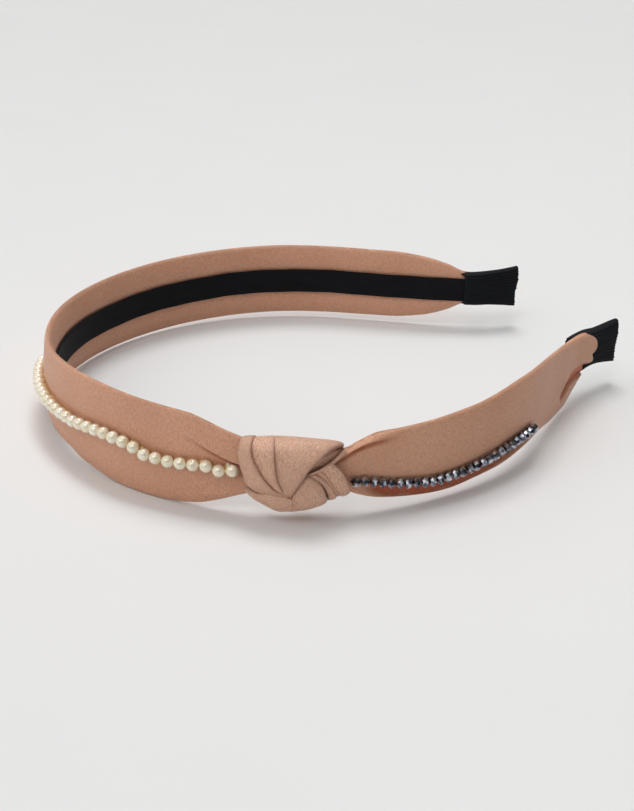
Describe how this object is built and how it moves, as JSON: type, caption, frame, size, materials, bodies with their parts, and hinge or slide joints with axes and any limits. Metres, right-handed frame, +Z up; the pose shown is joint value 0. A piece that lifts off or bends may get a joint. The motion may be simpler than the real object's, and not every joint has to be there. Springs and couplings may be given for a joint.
{
  "type": "headband",
  "caption": "Open sprung hair band in a flat satin sleeve tied in an off-centre knot, with a row of pearls on one side, a strand of faceted beads on the other and ribbed tip caps.",
  "frame": {"origin": "under the middle of the whole band, on the surface that its lower edge lies on", "axes": "+Z up across the band's width, +Y from the crown to the tips, +X towards the arm with the knot"},
  "size_m": [0.1322, 0.1554, 0.024],
  "materials": {
    "spring_core": "smooth dark spring plastic",
    "velvet_lining": "matte black velvet ribbon",
    "satin": "rose-peach crepe satin with a soft sheen",
    "knot_satin": "the same crepe satin, pleated",
    "ribbed_elastic": "black ribbed elastic",
    "pearl": "cream pearl lustre",
    "thread": "pale thread",
    "hematite": "faceted, dark metallic grey coating"
  },
  "bodies": {
    "knot_arm": {"hoop_core_knot_side": "spring_core", "lining_ribbon_knot_side": "velvet_lining", "sleeve_crown_to_knot": "satin", "sleeve_knot_arm": "satin", "knot_over_wrap": "knot_satin", "knot_under_roll": "knot_satin", "knot_side_fan": "knot_satin", "tip_cap_knot_arm": "ribbed_elastic", "pearl_thread_knot_side": "thread", "pearl_thread_end_knot": "thread", "hematite_strand": "hematite", "pearl_01": "pearl", "pearl_02": "pearl", "pearl_03": "pearl", "pearl_04": "pearl", "pearl_05": "pearl", "pearl_06": "pearl", "pearl_07": "pearl", "pearl_08": "pearl", "pearl_09": "pearl", "pearl_10": "pearl", "pearl_11": "pearl", "pearl_12": "pearl", "pearl_13": "pearl", "pearl_14": "pearl", "pearl_15": "pearl", "pearl_16": "pearl", "pearl_17": "pearl", "pearl_18": "pearl", "pearl_19": "pearl"},
    "plain_arm": {"hoop_core_plain_side": "spring_core", "lining_ribbon_plain_side": "velvet_lining", "sleeve_plain_arm": "satin", "tip_cap_plain_arm": "ribbed_elastic", "pearl_thread_plain_side": "thread", "pearl_20": "pearl", "pearl_21": "pearl", "pearl_22": "pearl", "pearl_23": "pearl", "pearl_24": "pearl", "pearl_25": "pearl", "pearl_26": "pearl", "pearl_27": "pearl", "pearl_28": "pearl", "pearl_29": "pearl", "pearl_30": "pearl"}
  },
  "joints": [
    {"name": "crown_flex", "type": "hinge", "parent": "knot_arm", "child": "plain_arm", "pos_m": [-0.00128, -0.07688, 0.012], "axis": [0, 0, 1], "range_deg": [0, 22], "stiffness_Nm_per_rad": 0.6}
  ]
}
